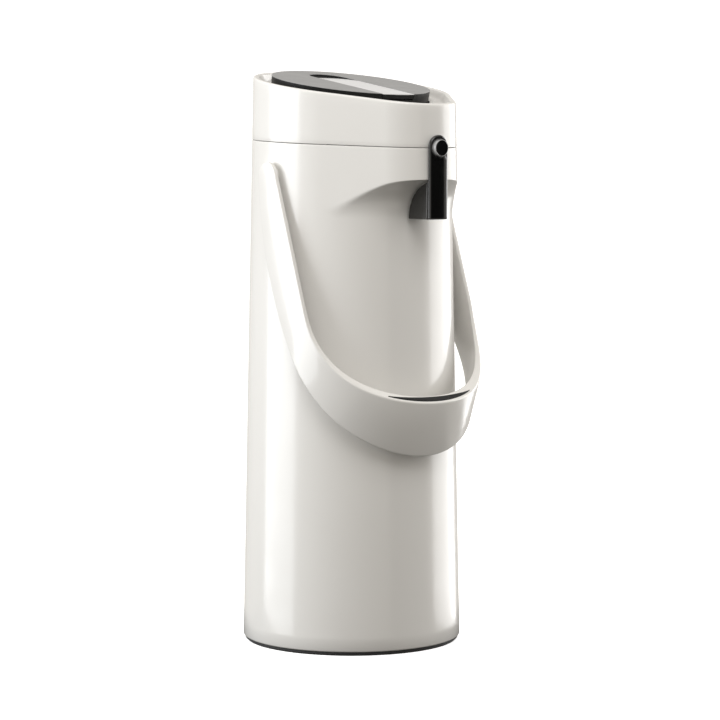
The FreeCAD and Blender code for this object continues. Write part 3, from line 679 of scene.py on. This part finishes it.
BEND_CENTRE, BEND_RADIUS = circle_through(TOP_BEND)
ARM_CENTRE, ARM_RADIUS = circle_through(ARM_ARC)
LOW_CURVE = smooth_line(LOW_LINE)
ARM_TOP, ARM_TOP_LEVEL = ARM_ARC[2]


def arm_arc_rise(reach):
    """Half the height of the arm's round end at this reach."""
    return math.sqrt(max(ARM_RADIUS ** 2 - (reach - ARM_CENTRE[0]) ** 2, 0.0))


def handle_top(reach):
    """Height of the handle's upper edge at a distance from its pivot."""
    if reach < ARM_TOP:
        return ARM_CENTRE[1] + arm_arc_rise(reach)
    if reach < TOP_BEND[0][0]:
        share = (reach - ARM_TOP) / (TOP_BEND[0][0] - ARM_TOP)
        return ARM_TOP_LEVEL + (TOP_BEND[0][1] - ARM_TOP_LEVEL) * share
    return BEND_CENTRE[1] - math.sqrt(BEND_RADIUS ** 2 - (reach - BEND_CENTRE[0]) ** 2)


def handle_low(reach):
    """Height of the handle's lower edge at a distance from its pivot."""
    if reach < LOW_LINE[0][0]:
        return ARM_CENTRE[1] - arm_arc_rise(reach)
    return float(np.interp(reach, [spot.x for spot in LOW_CURVE], [spot.y for spot in LOW_CURVE]))


def on_handle(across, reach, up):
    """A point of the tilted handle, measured from its pivot."""
    turn = HANDLE_TILT
    along = -PIVOT_REACH - reach * math.cos(turn) - up * math.sin(turn)
    height = PIVOT_HEIGHT - reach * math.sin(turn) + up * math.cos(turn)
    return across, along, height


def rounded_section(corners, rounding, steps=5):
    """A section's outline with each corner rounded."""
    outline = []
    for index, corner in enumerate(corners):
        before = corners[index - 1] - corner
        after = corners[(index + 1) % len(corners)] - corner
        start = corner + before.normalized() * min(rounding, before.length * 0.45)
        end = corner + after.normalized() * min(rounding, after.length * 0.45)
        for step in range(steps):
            share = step / (steps - 1)
            outline.append(start * (1 - share) ** 2 + corner * 2 * share * (1 - share) + end * share ** 2)
    return outline


def handle_stations():
    """Outer and inner plan points from one arm's end round the front to the other's."""
    inner_half = HANDLE_HALF - ARM_THICKNESS
    arm = []
    for turn in np.linspace(0, math.pi / 2, 12):
        arm.append(ARM_CENTRE[0] - ARM_RADIUS * 0.9995 * math.cos(turn))
    arm += list(np.linspace(ARM_CENTRE[0], BOW_CENTRE, 26)[1:-1])
    stations = [((-HANDLE_HALF, reach), (-inner_half, reach)) for reach in arm]
    for turn in np.linspace(-math.pi / 2, math.pi / 2, 97):
        outer = (HANDLE_HALF * math.sin(turn), BOW_CENTRE + HANDLE_HALF * math.cos(turn))
        depth = HANDLE_HALF - GRIP_THICKNESS
        inner = (inner_half * math.sin(turn), BOW_CENTRE + depth * math.cos(turn))
        stations.append((outer, inner))
    stations += [((HANDLE_HALF, reach), (inner_half, reach)) for reach in reversed(arm)]
    return stations


def build_handle():
    """The bail handle, one rounded section carried from one arm's end round to the other's."""
    rows = []
    for outer, inner in handle_stations():
        corners = [
            Vector(on_handle(*outer, handle_top(outer[1]))),
            Vector(on_handle(*outer, handle_low(outer[1]))),
            Vector(on_handle(*inner, handle_low(inner[1]))),
            Vector(on_handle(*inner, handle_top(inner[1]))),
        ]
        thickness = math.dist(outer, inner)
        edge = min(HANDLE_EDGE, 0.35 * thickness)
        rows.append([tuple(point) for point in rounded_section(corners, edge)])
    bow = piece("handle_bow_skin", joined(rows), capped_faces(len(rows), len(rows[0])), "handle",
                WHITE, sharp=math.radians(60))
    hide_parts("handle_bow")


PAD_OUTER = 69.2
PAD_INNER = 150.0
PAD_INNER_BACK = 23.7
PAD_HALF = 34.0
# across the pad: share of its width, and height over the bow's top
PAD_SECTION = [(0.0, -1.2), (0.0, 0.15), (0.04, 0.4), (0.12, 0.52), (0.3, 0.62), (0.5, 0.66),
               (0.7, 0.62), (0.88, 0.52), (0.96, 0.4), (1.0, 0.15), (1.0, -1.2)]


def build_grip_pad():
    """The lens of soft black grip let into the top of the bow."""
    rows = []
    for across in PAD_HALF * np.sin(np.linspace(-math.pi / 2, math.pi / 2, 49)):
        outer = BOW_CENTRE + math.sqrt(PAD_OUTER ** 2 - across ** 2)
        inner = -PAD_INNER_BACK + math.sqrt(PAD_INNER ** 2 - across ** 2)
        inner = min(inner, outer - 0.02)
        width = outer - inner
        row = []
        for share, lift in PAD_SECTION:
            reach = inner + width * share
            row.append(on_handle(across, reach, handle_top(reach) + lift))
        rows.append(row)
    pad = piece("grip_pad_skin", joined(rows), capped_faces(len(rows), len(PAD_SECTION)), "handle",
                PAD)
    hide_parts("grip_pad")


build_shell()
build_head()
build_bar()
build_housing()
build_button()
build_lid_plate()
build_lever()
build_handle()
build_grip_pad()

# ---------------------------------------------------------------- stage, camera and light

CAMERA_AZIMUTH = math.radians(38)
CAMERA_DISTANCE = 1.781
CAMERA_HEIGHT = 0.3323
CAMERA_PITCH = math.radians(4.67)
FLAG_ANGLE = math.radians(64)
FLAG_DISTANCE = 1.2
FLAG_WIDTH = 1.05


def paper(name, shade, roughness, shine):
    """Plain grey paper for the backdrop and the cards."""
    material, _, shader = new_material(name)
    shader.inputs["Base Color"].default_value = (shade, shade, shade, 1)
    shader.inputs["Roughness"].default_value = roughness
    shader.inputs["Specular IOR Level"].default_value = shine
    return material, shader


def build_stage():
    """A pale floor that curves up into a backdrop behind the pot, in metres."""
    profile = [(-3.0, 0.0), (2.0, 0.0)]
    for turn in np.linspace(0, math.pi / 2, 9)[1:]:
        profile.append((2.0 + math.sin(turn), 1.0 - math.cos(turn)))
    profile.append((3.0, 4.0))
    rows = [[(across, along, up) for along, up in profile] for across in np.linspace(-4.0, 4.0, 9)]
    width = len(profile)
    faces = []
    for row in range(len(rows) - 1):
        for column in range(width - 1):
            start = row * width + column
            faces.append((start, start + 1, start + width + 1, start + width))
    mesh = bpy.data.meshes.new("backdrop")
    mesh.from_pydata(joined(rows), [], faces)
    for polygon in mesh.polygons:
        polygon.use_smooth = True
    material, shader = paper("backdrop_paper", 0.94, 0.9, 0.1)
    shader.inputs["Emission Color"].default_value = (1.0, 1.0, 1.0, 1)
    shader.inputs["Emission Strength"].default_value = 0.6
    mesh.materials.append(material)
    backdrop = bpy.data.objects.new("backdrop", mesh)
    backdrop.rotation_euler = (0, 0, -CAMERA_AZIMUTH)
    backdrop.visible_diffuse = False
    backdrop.visible_glossy = False
    bpy.context.scene.collection.objects.link(backdrop)


def build_card(name, place, turn, width, tall, level, shade):
    """A flat card that shapes the light: one that is level lies flat, others stand upright."""
    mesh = bpy.data.meshes.new(name)
    half, up = width / 2, tall / 2
    mesh.from_pydata([(-half, 0, -up), (half, 0, -up), (half, 0, up), (-half, 0, up)], [], [(0, 1, 2, 3)])
    material, _ = paper(name + "_paper", shade, 1.0, 0.0)
    mesh.materials.append(material)
    card = bpy.data.objects.new(name, mesh)
    card.location = place
    card.rotation_euler = (math.pi / 2 if level else 0, 0, turn)
    card.visible_camera = False
    card.visible_shadow = False
    bpy.context.scene.collection.objects.link(card)
    return card


def build_cards():
    """Dark cards under the floor darken undersides, and a black flag darkens one reflection."""
    low_card = build_card("low_card", (0, 0, -0.05), 0, 3.0, 3.0, True, 0.2)
    low_card.visible_glossy = False
    small_card = build_card("small_card", (0, 0, -0.04), 0, 0.7, 0.7, True, 0.02)
    small_card.visible_diffuse = False
    turn = CAMERA_AZIMUTH - FLAG_ANGLE
    place = (-FLAG_DISTANCE * math.sin(turn), -FLAG_DISTANCE * math.cos(turn), 0.3)
    flag = build_card("black_flag", place, -turn, FLAG_WIDTH, 1.2, False, 0.0)
    flag.visible_diffuse = False


def build_camera():
    """A long lens at the height of the head's seam, round to the pot's left, looking slightly down."""
    camera = bpy.data.cameras.new("camera")
    camera.sensor_width = 36.0
    camera.lens = 133.5
    camera.shift_x = 0.0118
    camera.clip_end = 20.0
    thing = bpy.data.objects.new("camera", camera)
    thing.location = (-CAMERA_DISTANCE * math.sin(CAMERA_AZIMUTH),
                      -CAMERA_DISTANCE * math.cos(CAMERA_AZIMUTH), CAMERA_HEIGHT)
    thing.rotation_euler = (math.pi / 2 - CAMERA_PITCH, 0, -CAMERA_AZIMUTH)
    bpy.context.scene.collection.objects.link(thing)
    bpy.context.scene.camera = thing


def area_light(name, angle, distance, height, width, tall, power, color=(1.0, 1.0, 1.0), aim=0.2):
    """A soft panel at an angle from the camera's direction, positive to the right, facing the pot."""
    light = bpy.data.lights.new(name, "AREA")
    light.shape = "RECTANGLE"
    light.size = width
    light.size_y = tall
    light.energy = power
    light.color = color
    thing = bpy.data.objects.new(name, light)
    turn = CAMERA_AZIMUTH - angle
    place = Vector((-distance * math.sin(turn), -distance * math.cos(turn), height))
    thing.location = place
    thing.rotation_euler = (Vector((0, 0, aim)) - place).to_track_quat("-Z", "Y").to_euler()
    bpy.context.scene.collection.objects.link(thing)


def build_light():
    """A warm even sky and three soft panels: two at the sides and a weak one above."""
    world = bpy.data.worlds.new("studio")
    world.use_nodes = True
    background = world.node_tree.nodes["Background"]
    background.inputs["Color"].default_value = (1.0, 0.955, 0.885, 1)
    background.inputs["Strength"].default_value = 0.64
    bpy.context.scene.world = world
    area_light("left_panel", math.radians(-84), 1.6, 0.45, 1.3, 1.6, 31.0, (0.94, 0.97, 1.0))
    area_light("right_panel", math.radians(122), 1.8, 0.35, 1.7, 1.6, 29.0)
    area_light("top_panel", math.radians(5), 0.8, 1.3, 0.9, 0.9, 7.8)


build_stage()
build_cards()
build_camera()
build_light()
bpy.context.scene.view_settings.view_transform = "Standard"

# ---------------------------------------------------------------- finishes on the CAD nodes

slot_of = {entry["node"]: entry["material_slot"] for entry in frame["record"]["subparts"]}
for name, node in frame["nodes"].items():
    node.data.materials.clear()
    node.data.materials.append(SLOT_MATERIAL[slot_of[name]])
